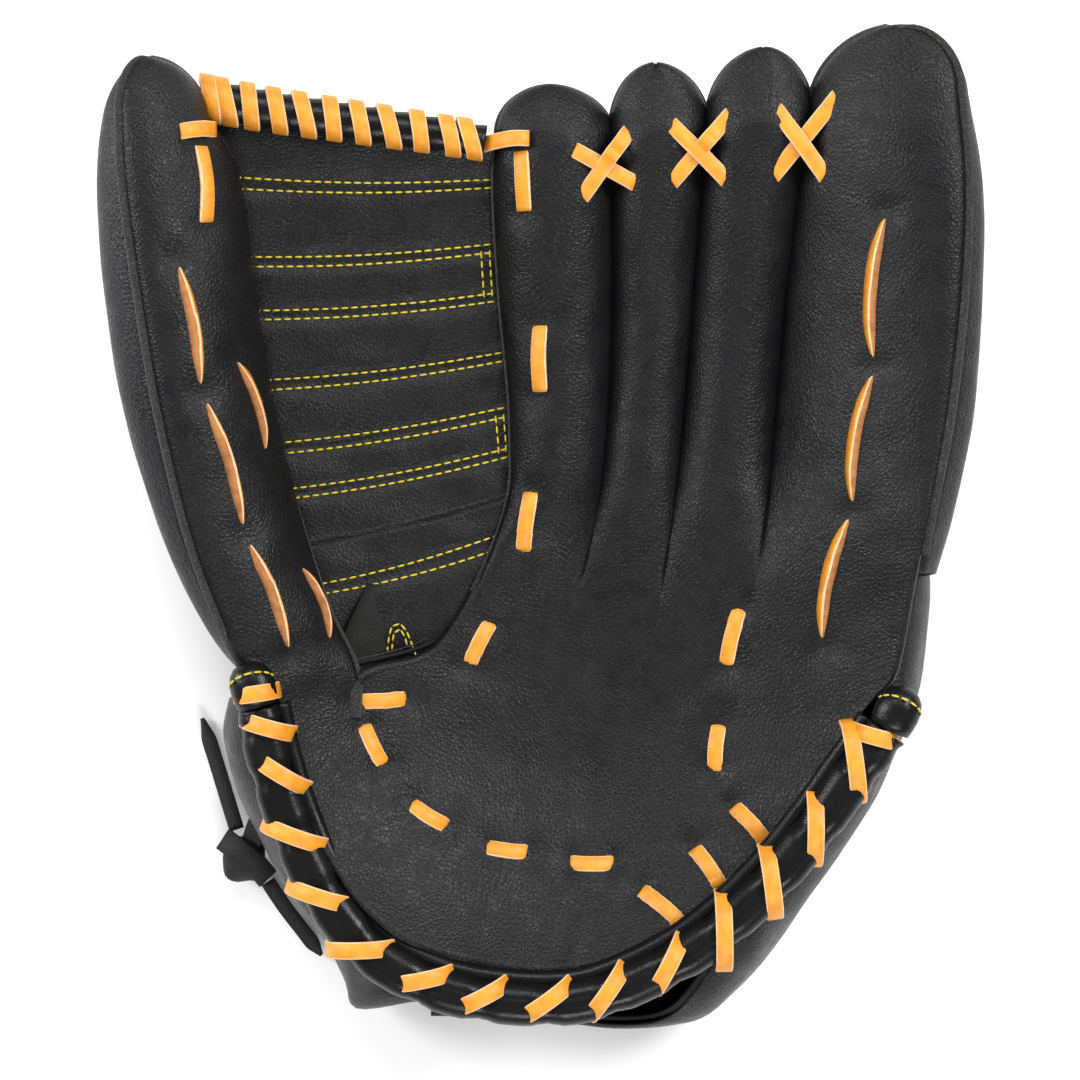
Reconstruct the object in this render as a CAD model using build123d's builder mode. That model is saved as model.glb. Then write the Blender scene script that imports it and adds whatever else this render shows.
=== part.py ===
"""Baseball fielder's glove, worn on the left hand, lying on its back with the catching face up.

+Z points out of the catching face, +Y along the fingers, -X to the thumb. The origin is at the middle of
the glove's box, on the surface that it lies on. Lengths are in millimetres.
"""
from build123d import *
import os

# ---------------------------------------------------------------- leather, lining and lace stock
leather = 2.2
lining = 1.2
felt = 4.0
seam_gap = 0.4
welt_width = 2.4
welt_gap = 0.1
liner_gap = 1.0
plate = 2.0
plate_share = 0.5
lace_width = 4.8
lace_thickness = 1.5
lace_gap = 0.5

# ---------------------------------------------------------------- pocket: a bowl that runs into the fingers
pocket_x = 12.0
pocket_y = -45.0
pocket_floor = 38.0
bowl_radius = 170.0
finger_radius = 373.0
bowl_half_arc = 62.0
heel_reach = 40.0
finger_reach = 12.0
bowl_axis_height = pocket_floor + bowl_radius

# ---------------------------------------------------------------- fold between thumb side and finger side
fold_x = -11.0
fold_height = 52.0
fold_gap = 0.4
fold_angle = 40.0
fold_relief = fold_angle + 2.0

# ---------------------------------------------------------------- heel roll, wrist and back
crotch_y = 7.5
roll_width = 13.5
roll_height = 10.0
roll_centre_height = 68.0
roll_bend = 55.0
wrap_gap = 0.4
cap_radius = 6.2
cap_length = 12.0
back_top = 95.0
back_heel_top = 59.5
back_floor_end = 48.0
back_slope = 9.0
thumb_way_height = 24.0
wrist_left = -36.0
wrist_right = 42.0
wrist_depth = 62.0
strap_width = 28.0
strap_thickness = 2.8
fleece = 2.4
strap_clearance = 0.8

# ---------------------------------------------------------------- web
web_height = 46.0
web_sag_radius = 420.0
web_roll_radius = 5.6
web_roll_start = (-97.0, 127.5, 52.0)
web_roll_end = (-23.0, 117.0, 49.0)
web_turns = 11

# ---------------------------------------------------------------- stalls
# Each station is (y, x, z, half width, half depth, tilt in degrees).
index_stations = [
    (8, 3.4, 24, 12.8, 20, 0), (60, 6, 33, 15.2, 17, 0), (105, 6.0, 45, 15.8, 15, 0),
    (126, 5.8, 52, 15.0, 13, 0), (135, 5.0, 54, 11, 9, 0), (139.5, 4.5, 55, 4, 3.5, 0),
]
middle_stations = [
    (8, 30.2, 24, 8.9, 20, 6), (60, 35.2, 33, 12.0, 17, 6), (105, 36.6, 46, 12.9, 15, 6),
    (132, 37.0, 54, 13.0, 12.5, 6), (141, 36, 56, 9.5, 9, 6), (146, 35.5, 57, 4, 3.5, 6),
]
ring_stations = [
    (8, 57.2, 30, 12.2, 20, 15), (60, 62.2, 38, 13.2, 17, 12), (105, 65.3, 49, 13.4, 15, 10),
    (134, 67.8, 57, 14.0, 12.5, 10), (144.5, 68.5, 60, 10, 9, 10), (150, 69, 61, 4, 3.5, 10),
]
pinky_stations = [
    (8, 99.5, 50, 29, 22, 30), (60, 106.4, 56, 32, 18, 28), (95, 108.6, 64, 31.5, 17, 28),
    (120, 110, 69, 28.5, 16, 26), (137, 110, 72, 23.5, 13, 25), (150, 109.5, 74, 14, 8, 24),
    (155.5, 109, 75, 5, 3.5, 24),
]
thumb_stations = [
    (-44, -79.5, 40, 24, 18, -32), (-18, -91, 48, 25, 17.5, -38), (12, -100, 56, 26, 17, -43),
    (43, -107.5, 62, 26, 16.5, -46), (90, -115.3, 70, 26.5, 16.5, -45), (120, -118, 74, 22, 14.5, -42),
    (133, -119.5, 76, 18, 12, -40), (141, -121, 77, 11, 8, -40), (145, -122, 77.5, 4, 3, -40),
]
tip_wall = 0.85


def stall_plane(station):
    """The plane of a stall's cross-section: local X runs across the stall, local Y out of its front."""
    y, x, z, half_width, half_depth, tilt = station
    across = Vector(1, 0, 0).rotate(Axis.Y, -tilt)
    return Plane(origin=(x, y, z), x_dir=across, z_dir=(0, -1, 0))


def crown_circle(half_width, crown, foot):
    """Radius and centre height of the arc over a stall: feet at the half width, top at the crown."""
    rise = crown - foot
    radius = (half_width ** 2 + rise ** 2) / (2 * rise)
    return radius, crown - radius


def crown_arc(half_width, crown, foot, share, side):
    """The middle share of that arc, on the front (side 1) or the back (side -1)."""
    radius, centre = crown_circle(half_width, crown, foot)
    edge = share * half_width
    height = foot if share == 1 else centre + (radius ** 2 - edge ** 2) ** 0.5
    return ThreePointArc((-edge, side * height), (0, side * crown), (edge, side * height))


def stall_sheet(stations, outer_inset, inner_inset, foot, side, crown_inset=0.0, share=1.0):
    """One curved sheet of a stall, between two insets from its outside, lofted from end to end."""
    with BuildPart() as sheet:
        for station in stations:
            half_width, half_depth = station[3:5]
            outer = min(outer_inset, half_width * tip_wall)
            inner = min(inner_inset, half_width * tip_wall)
            low = min(foot, half_depth * tip_wall / 4)
            with BuildSketch(stall_plane(station)):
                with BuildLine():
                    far = crown_arc(half_width - outer, half_depth - outer - crown_inset, low, share, side)
                    near = crown_arc(half_width - inner, half_depth - inner - crown_inset, low, share, side)
                    Line(far @ 0, near @ 0)
                    Line(far @ 1, near @ 1)
                make_face()
        loft(ruled=True)
    return sheet.part


def stall_strip(stations, side):
    """The welt in one side seam of a stall."""
    with BuildPart() as strip:
        for station in stations[:-1]:
            half_width, half_depth = station[3:5]
            middle = side * (half_width - leather / 2)
            with BuildSketch(stall_plane(station)):
                with Locations((middle, 0)):
                    Rectangle(leather, welt_width - 2 * welt_gap)
        loft(ruled=True)
    return strip.part


def finish(builder, label):
    """Name a finished piece and write it."""
    builder.part.label = label
    export_step(builder.part, f"parts/{label}.step")


def make_stall(name, stations, plate_room=0.0):
    """Front, back, welt and lining of one stall, and its stiffener where there is room for one."""
    foot = welt_width / 2
    with BuildPart() as front:
        add(stall_sheet(stations, 0, leather, foot, 1))
    finish(front, f"{name}_front")

    with BuildPart() as back:
        add(stall_sheet(stations, 0, leather, foot, -1))
    finish(back, f"{name}_back")

    with BuildPart() as welt:
        add(stall_strip(stations, 1))
        add(stall_strip(stations, -1))
    finish(welt, f"{name}_welt")

    skin = leather + liner_gap
    lined = stations[:-2]
    with BuildPart() as liner:
        add(stall_sheet(lined, skin, skin + lining, foot / 2, 1))
        add(stall_sheet(lined, skin, skin + lining, foot / 2, -1, plate_room))
    finish(liner, f"{name}_lining")

    if plate_room:
        with BuildPart() as stiffener:
            add(stall_sheet(lined[1:], leather + seam_gap, leather + seam_gap + plate, foot, -1, 0, plate_share))
        finish(stiffener, f"{name}_stiffener")


def front_point(stations, share, y):
    """A point of a stall's front, the direction across it there, and the direction out of it."""
    pair = [pair for pair in zip(stations, stations[1:]) if pair[0][0] <= y <= pair[1][0]][0]
    ends = []
    for station in pair:
        plane = stall_plane(station)
        half_width, half_depth = station[3:5]
        radius, centre = crown_circle(half_width, half_depth, welt_width / 2)
        edge = share * half_width
        height = centre + (radius ** 2 - edge ** 2) ** 0.5
        out = plane.x_dir * (edge / radius) + plane.y_dir * ((height - centre) / radius)
        ends.append((plane.origin + plane.x_dir * edge + plane.y_dir * height, out))
    along = (y - pair[0][0]) / (pair[1][0] - pair[0][0])
    point = ends[0][0] * (1 - along) + ends[1][0] * along
    out = (ends[0][1] * (1 - along) + ends[1][1] * along).normalized()
    return point, out.cross(Vector(0, -1, 0)), out


def stall_lace(label, stations, runs):
    """Laces along the front of a stall, each at a share of its half width from one y to another."""
    with BuildPart() as lace:
        for share, first, last in runs:
            middle = [station[0] for station in stations if first < station[0] < last]
            for y in [first] + middle + [last]:
                point, across, out = front_point(stations, share, y)
                lift = out * (lace_gap + lace_thickness / 2)
                with BuildSketch(Plane(origin=point + lift, x_dir=across, z_dir=(0, -1, 0))):
                    Rectangle(lace_width, lace_thickness)
            loft(ruled=True)
    finish(lace, label)


# ---------------------------------------------------------------- layers that follow the pocket
def bowl_plane():
    """Half plane through the bowl's axis: local X runs along +Y, local Y away from the axis."""
    outward = Vector(0, 0, -1).rotate(Axis.Y, -bowl_half_arc)
    return Plane(origin=(pocket_x, 0, bowl_axis_height), x_dir=(0, 1, 0),
                 z_dir=Vector(0, 1, 0).cross(outward))


def bowl_layer(top, bottom):
    """The layer of the pocket between two depths below its face."""
    finger_centre = (pocket_y, bowl_radius - finger_radius)
    with BuildPart() as layer:
        with BuildSketch(bowl_plane()):
            with BuildLine():
                near = CenterArc((pocket_y, 0), bowl_radius + top, 90, heel_reach)
                near_rise = CenterArc(finger_centre, finger_radius + top, 90, -finger_reach)
                far = CenterArc((pocket_y, 0), bowl_radius + bottom, 90, heel_reach)
                far_rise = CenterArc(finger_centre, finger_radius + bottom, 90, -finger_reach)
                Line(near @ 1, far @ 1)
                Line(near_rise @ 1, far_rise @ 1)
            make_face()
        revolve(axis=Axis((pocket_x, 0, bowl_axis_height), (0, 1, 0)), revolution_arc=2 * bowl_half_arc)
    return layer.part


def column(points, low=-5.0, high=140.0):
    """An upright prism over a polygon."""
    with BuildPart() as prism:
        with BuildSketch(Plane.XY.offset(low)):
            with BuildLine():
                Polyline(*points, close=True)
            make_face()
        extrude(amount=high - low)
    return prism.part


def side_space(points):
    """A prism along Y over a polygon in the XZ plane."""
    with BuildPart() as space:
        with BuildSketch(Plane.XZ.offset(-300)):
            with BuildLine():
                Polyline(*points, close=True)
            make_face()
        extrude(amount=600)
    return space.part


thumb_edge = fold_x - fold_gap
palm_edge = fold_x + fold_gap
relief_top = 160.0
relief_run = (relief_top - fold_height) * (Vector(0, 0, 1).rotate(Axis.Y, fold_relief).X
                                           / Vector(0, 0, 1).rotate(Axis.Y, fold_relief).Z)
thumb_space = side_space([(-220, -10), (thumb_edge, -10), (thumb_edge, fold_height),
                          (thumb_edge - relief_run, relief_top), (-220, relief_top)])
palm_space = side_space([(palm_edge, -10), (220, -10), (220, relief_top), (palm_edge, relief_top)])

palm_outline = [
    (-66, -58), (-64, -72), (-56, -99), (-43, -116), (-24, -127), (8, -131), (36, -119), (64, -97),
    (84, -71), (92, -58), (100, -44), (109, -38), (116, -18), (119, crotch_y),
    (-10, crotch_y), (-17, -10), (-25, -27), (-35, -35.5), (-46, -43), (-57, -45.5), (-70, -46),
]
pad_outline = [
    (-52, -62), (-46, -94), (-22, -114), (8, -118), (32, -108), (58, -88), (82, -52), (96, -34),
    (104, -6), (98, 0), (-4, 0), (-14, -16), (-32, -40), (-48, -50),
]

leather_layer = bowl_layer(0, leather)
pad_top = leather + seam_gap
pad_layer = bowl_layer(pad_top, pad_top + felt)
lining_top = pad_top + felt + seam_gap
lining_layer = bowl_layer(lining_top, lining_top + lining)
palm_column = column(palm_outline)
pad_column = column(pad_outline)


def palm_piece(label, layer, outline, space):
    """One side of a layer of the pocket."""
    with BuildPart() as piece:
        add(layer)
        add(outline, mode=Mode.INTERSECT)
        add(space, mode=Mode.INTERSECT)
    finish(piece, label)


# ---------------------------------------------------------------- back of the hand
back_outline = [
    (-88, -46.5), (-93, -62), (-79, -106), (-55, -132), (0, -145), (46, -135), (80, -105), (108, -62),
    (118, -30), (120, 30), (fold_x, 30), (fold_x, -14), (-56, -46.5),
]


def back_body(inset, open_end):
    """Solid over the outline of the back, drawn in by an inset, with sloped lower edges."""
    with BuildPart() as body:
        with BuildSketch(Plane.XY.offset(inset)):
            with BuildLine():
                Polyline(*back_outline, close=True)
            make_face()
            if inset:
                offset(amount=-inset, kind=Kind.INTERSECTION)
        extrude(amount=back_top)
        chamfer(body.faces().sort_by(Axis.Z)[0].edges(), back_slope)
        if open_end:
            with BuildSketch(Plane.XY.offset(inset)):
                with Locations((50, crotch_y + 10)):
                    Rectangle(124, 60)
            extrude(amount=back_top)
    return body.part


def hand_plug():
    """Everything above the underside of the palm lining."""
    return bowl_layer(-90, lining_top + lining + seam_gap)


floor_outline = [
    (palm_edge, -20), (100, -20), (98, 30), (84, back_floor_end), (palm_edge, back_floor_end),
]


def back_piece(label, space, with_floor):
    """One side of the back leather: floor, walls and the wrist cut-out."""
    with BuildPart() as piece:
        add(back_body(0, False))
        add(back_body(leather, True), mode=Mode.SUBTRACT)
        add(hand_plug(), mode=Mode.SUBTRACT)
        with BuildSketch(Plane.XY.offset(back_heel_top)):
            with Locations((0, pocket_y - 100)):
                Rectangle(300, 200)
        extrude(amount=60, mode=Mode.SUBTRACT)
        with BuildSketch(Plane.XY.offset(leather)):
            with Locations((0, crotch_y + 50)):
                Rectangle(300, 100)
        extrude(amount=120, mode=Mode.SUBTRACT)
        with BuildSketch(Plane.XY.offset(-1)):
            with Locations(((wrist_left + wrist_right) / 2, -150 + wrist_depth / 2)):
                Rectangle(wrist_right - wrist_left, wrist_depth)
        extrude(amount=100, mode=Mode.SUBTRACT)
        with BuildSketch(Plane.XY.offset(thumb_way_height)):
            with Locations((-75, -46)):
                Rectangle(34, 14)
        extrude(amount=back_top, mode=Mode.SUBTRACT)
        add(space, mode=Mode.INTERSECT)
        if with_floor:
            with BuildSketch(Plane.XY):
                with BuildLine():
                    Polyline(*floor_outline, close=True)
                make_face()
            extrude(amount=leather)
    finish(piece, label)


lining_floor = [
    (-68, -62), (-72, -66), (-60, -96), (-46, -110), (-40, -84), (46, -84), (50, -110), (64, -92),
    (86, -56), (97, -28), (99, 20), (2, 20), (2, -26), (-16, -34), (-54, -62),
]


def back_lining_piece(label, space):
    """The lining of the back, on the floor of one side."""
    with BuildPart() as piece:
        with BuildSketch(Plane.XY.offset(leather + seam_gap)):
            with BuildLine():
                Polyline(*lining_floor, close=True)
            make_face()
        extrude(amount=lining)
        add(space, mode=Mode.INTERSECT)
    finish(piece, label)


# ---------------------------------------------------------------- heel roll and its lace
roll_points = [
    (-85, -60), (-75, -92), (-58, -122), (-28, -139), (12, -142.5), (44, -129), (76, -101), (105, -61),
]
roll_line = FilletPolyline(*[(x, y, roll_centre_height) for x, y in roll_points], radius=roll_bend)


def roll_frame(place):
    """The plane across the roll at a share of its length."""
    return Plane(origin=roll_line @ place, x_dir=Vector(0, 0, 1).cross(roll_line % place),
                 z_dir=roll_line % place)


def heel_roll_piece(label, space):
    """One side of the piped heel roll."""
    with BuildPart() as piece:
        with BuildSketch(roll_frame(0)):
            SlotOverall(roll_width, roll_height)
        sweep(path=roll_line)
        add(space, mode=Mode.INTERSECT)
    finish(piece, label)


def heel_lace_piece(label, places):
    """The turns of lace round the roll."""
    with BuildPart() as piece:
        for place in places:
            frame = roll_frame(place)
            turn = wrap_gap + lace_thickness
            with BuildSketch(frame.offset(-lace_width / 2)):
                SlotOverall(roll_width + 2 * turn, roll_height + 2 * turn)
                SlotOverall(roll_width + 2 * wrap_gap, roll_height + 2 * wrap_gap, mode=Mode.SUBTRACT)
            extrude(amount=lace_width)
    finish(piece, label)


def heel_cap(label, place, direction):
    """The stitched cap that closes an end of the roll."""
    outward = (roll_line % place) * direction
    with BuildPart() as cap:
        with BuildSketch(Plane(origin=(roll_line @ place) + outward * seam_gap, z_dir=outward)):
            Circle(cap_radius)
        extrude(amount=cap_length)
        fillet(cap.faces().sort_by(Axis(roll_line @ place, outward))[-1].edges(), cap_radius * 0.7)
    finish(cap, label)


# ---------------------------------------------------------------- laces on the pocket and over the gaps
def bowl_point(x, y):
    """A point of the pocket's face and the direction out of it."""
    across = x - pocket_x
    along = y - pocket_y
    if along < 0:
        ring = (bowl_radius ** 2 - along ** 2) ** 0.5
    else:
        ring = bowl_radius - finger_radius + (finger_radius ** 2 - along ** 2) ** 0.5
    drop = (ring ** 2 - across ** 2) ** 0.5
    slope = -along / (bowl_radius if along < 0 else finger_radius)
    return Vector(x, y, bowl_axis_height - drop), Vector(-across / ring, slope, drop / ring).normalized()


def palm_lace(label, runs):
    """Straight laces (x1, y1, x2, y2) that lie on the pocket's leather."""
    with BuildPart() as lace:
        for x1, y1, x2, y2 in runs:
            start, start_out = bowl_point(x1, y1)
            end, end_out = bowl_point(x2, y2)
            out = (start_out + end_out).normalized()
            centre = (start + end) * 0.5 + out * (lace_gap + lace_thickness / 2)
            with BuildSketch(Plane(origin=centre, x_dir=end - start, z_dir=out)):
                Rectangle((end - start).length, lace_width)
            extrude(amount=lace_thickness / 2, both=True)
    finish(lace, label)


def crossed_lace(label, left, right, low_y, high_y, height, rise):
    """Two straight laces crossed over the gap between neighbouring fingers."""
    with BuildPart() as lace:
        corners = (((left, low_y), (right, high_y)), ((left, high_y), (right, low_y)))
        for layer, ((x1, y1), (x2, y2)) in enumerate(corners):
            lift = layer * (lace_thickness + lace_gap)
            start = Vector(x1, y1, height + lift)
            end = Vector(x2, y2, height + rise + lift)
            across = Vector(0, 0, 1).cross(end - start)
            run = Plane(origin=(start + end) * 0.5, x_dir=end - start, z_dir=(end - start).cross(across))
            with BuildSketch(run):
                Rectangle((end - start).length, lace_width)
            extrude(amount=lace_thickness)
    finish(lace, label)


# ---------------------------------------------------------------- web
web_outline = [
    (-12.6, 106.5), (-12.6, 9), (-19, -8), (-27, -24), (-36, -33), (-46, -40), (-55, -40), (-66, -18),
    (-76, 12), (-84.5, 43), (-90.5, 90), (-94.5, 117),
]


def web_panel(label, top, thickness):
    """One of the two leather panels of the web, hollowed a little towards the back."""
    with BuildPart() as panel:
        middle = (web_outline[0][0] + web_outline[-1][0]) / 2
        centre = (middle, top + web_sag_radius)
        with BuildSketch(Plane.XZ.offset(-160)):
            with Locations((centre[0], centre[1])):
                Circle(web_sag_radius + thickness)
                Circle(web_sag_radius, mode=Mode.SUBTRACT)
        extrude(amount=240)
        add(column(web_outline, 0, 80), mode=Mode.INTERSECT)
    finish(panel, label)


def web_roll_frame(place):
    """The plane across the web's top roll at a share of its length."""
    start = Vector(*web_roll_start)
    end = Vector(*web_roll_end)
    return Plane(origin=start + (end - start) * place, z_dir=end - start)


# ---------------------------------------------------------------- knot and its tails
knot_centre = (-93.5, -101.5, 8.5)
knot_size = (14.0, 15.0, 11.0)
upper_tail = [(-97.5, -93.0, 8.0), (-100.5, -84.0, 6.0), (-104.5, -71.5, 3.4), (-109.0, -57.5, 3.0)]
lower_tail = [(-87.5, -110.0, 7.0), (-83.0, -117.5, 5.0), (-76.5, -126.0, 3.4), (-70.5, -134.0, 3.0)]
tail_radius = 2.4
run_share = 0.45


def tail_path(points):
    """Straight runs joined by arcs as large as their runs allow."""
    corners = [Vector(*point) for point in points]
    radii = []
    for before, here, after in zip(corners, corners[1:], corners[2:]):
        turn = (here - before).get_angle(after - here)
        shorter = min((here - before).length, (after - here).length)
        half_turn = Vector(0, 1, 0).rotate(Axis.Z, turn / 2)
        radii.append(run_share * shorter * half_turn.Y / abs(half_turn.X))
    print("tail arc radii", [round(radius, 1) for radius in radii])
    return FilletPolyline(*corners, radius=radii)


def knot_tail(label, points):
    """A free end of the strap's lace."""
    path = tail_path(points)
    with BuildPart() as tail:
        with BuildSketch(Plane(origin=path @ 0, z_dir=path % 0)):
            Circle(tail_radius)
        sweep(path=path)
    finish(tail, label)


# ================================================================ the pieces


# ---------------------------------------------------------------- wrist strap
strap_left = fold_x + fold_gap + strap_clearance
strap_right = wrist_right - strap_clearance
strap_start = -155.5
strap_base = leather + seam_gap + strap_clearance
tab_left = wrist_left + strap_clearance
tab_right = thumb_edge - strap_clearance


def strap_layer(label, base, thickness, inset):
    """A flat layer of the wrist strap, across the wrist opening."""
    with BuildPart() as layer:
        with BuildSketch(Plane.XY.offset(base)):
            with Locations(((strap_left + strap_right) / 2, strap_start + strap_width / 2)):
                RectangleRounded(strap_right - strap_left - 2 * inset, strap_width - 2 * inset, 5)
        extrude(amount=thickness)
    finish(layer, label)


os.makedirs("parts", exist_ok=True)

make_stall("index", index_stations)
make_stall("middle", middle_stations)
make_stall("ring", ring_stations)
make_stall("pinky", pinky_stations, plate_room=plate + 2 * seam_gap)
make_stall("thumb", thumb_stations, plate_room=plate + 2 * seam_gap)

palm_piece("palm_leather", leather_layer, palm_column, palm_space)
palm_piece("thumb_palm_leather", leather_layer, palm_column, thumb_space)
palm_piece("palm_pad", pad_layer, pad_column, palm_space)
palm_piece("thumb_heel_pad", pad_layer, pad_column, thumb_space)
palm_piece("palm_lining", lining_layer, pad_column, palm_space)
palm_piece("thumb_palm_lining", lining_layer, pad_column, thumb_space)

back_piece("back_leather", palm_space, True)
back_piece("thumb_back_leather", thumb_space, False)
back_lining_piece("back_lining", palm_space)
back_lining_piece("thumb_back_lining", thumb_space)

heel_roll_piece("heel_roll", palm_space)
heel_roll_piece("thumb_heel_roll", thumb_space)
heel_lace_piece("heel_lace", [0.46 + 0.0675 * turn for turn in range(8)])
heel_lace_piece("thumb_heel_lace", [0.03 + 0.06 * turn for turn in range(5)])
heel_cap("pinky_heel_cap", 1, 1)
heel_cap("thumb_heel_cap", 0, -1)

stall_lace("index_lace", index_stations, [(-0.38, 45, 68), (-0.5, 12, 33), (-0.7, 98, 121)])
stall_lace("pinky_lace", pinky_stations, [(-0.05, 55, 100), (-0.08, 11, 53)])
stall_lace("thumb_lace", thumb_stations, [(0.1, 46, 85), (0.1, 4, 44), (0.1, -34, 2), (0.55, 97, 122)])
stall_lace("web_side_lace", thumb_stations, [(0.8, 27, 57), (0.85, -30, -7)])
palm_lace("pocket_lace", [(-1, -97, 11, -98.5), (20, -101.5, 30, -101.5), (62, -20, 58, -38),
                          (57, -57, 55, -72)])
palm_lace("thumb_pocket_lace", [(-54, -50, -43, -49), (-55, -58, -49, -70), (-40, -83, -29, -89)])
palm_lace("heel_stitch_lace", [(33, -106, 39, -112), (49, -94, 54, -102), (62, -82, 67, -89)])
crossed_lace("index_middle_lace", 9, 31, 109, 121, 68.0, 0.5)
crossed_lace("middle_ring_lace", 40, 59, 110, 124, 69.5, 3.0)
crossed_lace("ring_pinky_lace", 72, 92, 111, 132, 72.0, 10.0)

web_panel("web_front_panel", web_height, leather)
web_panel("web_back_panel", web_height - leather - seam_gap, leather)
with BuildPart() as web_top_roll:
    with BuildSketch(web_roll_frame(0)):
        Circle(web_roll_radius)
    extrude(amount=(Vector(*web_roll_end) - Vector(*web_roll_start)).length)
finish(web_top_roll, "web_top_roll")

with BuildPart() as web_top_lace:
    for turn in range(web_turns):
        with BuildSketch(web_roll_frame((turn + 0.5) / web_turns).offset(-lace_width / 2)):
            Circle(web_roll_radius + wrap_gap + lace_thickness)
            Circle(web_roll_radius + wrap_gap, mode=Mode.SUBTRACT)
        extrude(amount=lace_width)
finish(web_top_lace, "web_top_lace")

with BuildPart() as strap_knot:
    with BuildSketch(Plane.XY.offset(knot_centre[2] - knot_size[2] / 2)):
        with Locations(knot_centre[:2]):
            RectangleRounded(knot_size[0], knot_size[1], 4)
    extrude(amount=knot_size[2])
    fillet(strap_knot.edges().filter_by(GeomType.LINE, reverse=True), 2.5)
finish(strap_knot, "strap_knot")
knot_tail("knot_tail_upper", upper_tail)
knot_tail("knot_tail_lower", lower_tail)

strap_layer("wrist_strap", strap_base, strap_thickness, 0)
strap_layer("wrist_strap_lining", strap_base + strap_thickness, fleece, 2)
with BuildPart() as strap_tab:
    with BuildSketch(Plane.XY.offset(strap_base)):
        with Locations(((tab_left + tab_right) / 2, strap_start + strap_width / 2)):
            RectangleRounded(tab_right - tab_left, strap_width - 4, 5)
    extrude(amount=strap_thickness)
finish(strap_tab, "strap_tab")
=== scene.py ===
"""Looks of a black fielder's glove with golden laces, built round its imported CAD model.

Lengths in the tables are millimetres in the frame of the CAD; MM turns them into metres.
"""
import math

import bmesh
import bpy
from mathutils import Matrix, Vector, noise
from mathutils.bvhtree import BVHTree


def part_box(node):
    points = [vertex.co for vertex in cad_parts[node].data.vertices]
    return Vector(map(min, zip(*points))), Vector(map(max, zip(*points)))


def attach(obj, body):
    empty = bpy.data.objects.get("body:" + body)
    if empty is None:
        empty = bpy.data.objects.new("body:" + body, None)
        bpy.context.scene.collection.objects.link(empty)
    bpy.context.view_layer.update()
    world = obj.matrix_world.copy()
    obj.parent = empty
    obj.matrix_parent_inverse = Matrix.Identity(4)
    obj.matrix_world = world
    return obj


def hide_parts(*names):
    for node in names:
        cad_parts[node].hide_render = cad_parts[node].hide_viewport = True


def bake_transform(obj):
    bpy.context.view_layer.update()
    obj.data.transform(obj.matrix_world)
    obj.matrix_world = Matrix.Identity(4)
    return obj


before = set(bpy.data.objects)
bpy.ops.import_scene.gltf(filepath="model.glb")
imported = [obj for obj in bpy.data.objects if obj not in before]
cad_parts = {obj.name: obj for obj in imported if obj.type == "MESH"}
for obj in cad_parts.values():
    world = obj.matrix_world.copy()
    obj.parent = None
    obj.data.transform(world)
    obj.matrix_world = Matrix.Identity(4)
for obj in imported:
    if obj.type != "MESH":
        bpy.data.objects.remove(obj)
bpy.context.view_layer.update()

MM = 0.001

# The pocket's bowl, as in the CAD.
BOWL_X, BOWL_Y, BOWL_FLOOR, BOWL_RADIUS, FINGER_RADIUS = 12.0, -45.0, 38.0, 170.0, 373.0
LACE_WIDTH, LACE_THICKNESS = 4.9, 1.5


# ---------------- camera, stage and light
def make_camera():
    data = bpy.data.cameras.new("camera")
    data.lens = 135
    data.sensor_width = 36
    frame_width = 0.3348
    subject_height = 0.055
    camera = bpy.data.objects.new("camera", data)
    camera.location = (0, 0, subject_height + frame_width * data.lens / data.sensor_width)
    bpy.context.scene.collection.objects.link(camera)
    bpy.context.scene.camera = camera


def area_light(name, place, target, size, power, colour=(1, 1, 1)):
    data = bpy.data.lights.new(name, "AREA")
    data.shape = "RECTANGLE"
    data.size, data.size_y = size
    data.energy = power
    data.color = colour
    light = bpy.data.objects.new(name, data)
    light.location = place
    light.rotation_mode = "QUATERNION"
    light.rotation_quaternion = (Vector(target) - Vector(place)).to_track_quat("-Z", "Y")
    bpy.context.scene.collection.objects.link(light)


def make_stage():
    world = bpy.data.worlds.new("studio")
    world.use_nodes = True
    background = world.node_tree.nodes["Background"]
    background.inputs["Color"].default_value = (1, 1, 1, 1)
    background.inputs["Strength"].default_value = 0.36
    bpy.context.scene.world = world
    bpy.context.scene.view_settings.view_transform = "Standard"
    area_light("key", (0.85, 0.45, 0.95), (0.03, 0, 0.05), (0.5, 0.5), 14)
    area_light("left_strip", (-0.9, 0.25, 0.5), (-0.08, 0.02, 0.05), (0.3, 0.8), 9)
    area_light("top_soft", (-0.1, 0.9, 1.2), (0, 0, 0.05), (0.8, 0.4), 9)
    area_light("heel_glow", (0.1, -0.95, 0.8), (0, -0.1, 0.06), (0.7, 0.3), 8)
    mesh = bpy.data.meshes.new("floor")
    reach = 3.0
    mesh.from_pydata([(-reach, -reach, 0), (reach, -reach, 0), (reach, reach, 0), (-reach, reach, 0)],
                     [], [(0, 1, 2, 3)])
    floor = bpy.data.objects.new("floor", mesh)
    bpy.context.scene.collection.objects.link(floor)
    floor.data.materials.append(plain_material("floor_white", (0.93, 0.93, 0.93), 0.9))


# ---------------- materials
def new_material(name, colour, roughness):
    material = bpy.data.materials.new(name)
    material.use_nodes = True
    shader = material.node_tree.nodes["Principled BSDF"]
    shader.inputs["Base Color"].default_value = (*colour, 1)
    shader.inputs["Roughness"].default_value = roughness
    return material, material.node_tree, shader


def plain_material(name, colour, roughness):
    return new_material(name, colour, roughness)[0]


def coordinates(tree):
    return tree.nodes.new("ShaderNodeTexCoord").outputs["Object"]


def noise_node(tree, vector, scale, detail=3.0):
    node = tree.nodes.new("ShaderNodeTexNoise")
    node.inputs["Scale"].default_value = scale
    node.inputs["Detail"].default_value = detail
    tree.links.new(vector, node.inputs["Vector"])
    return node.outputs["Fac"]


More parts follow.
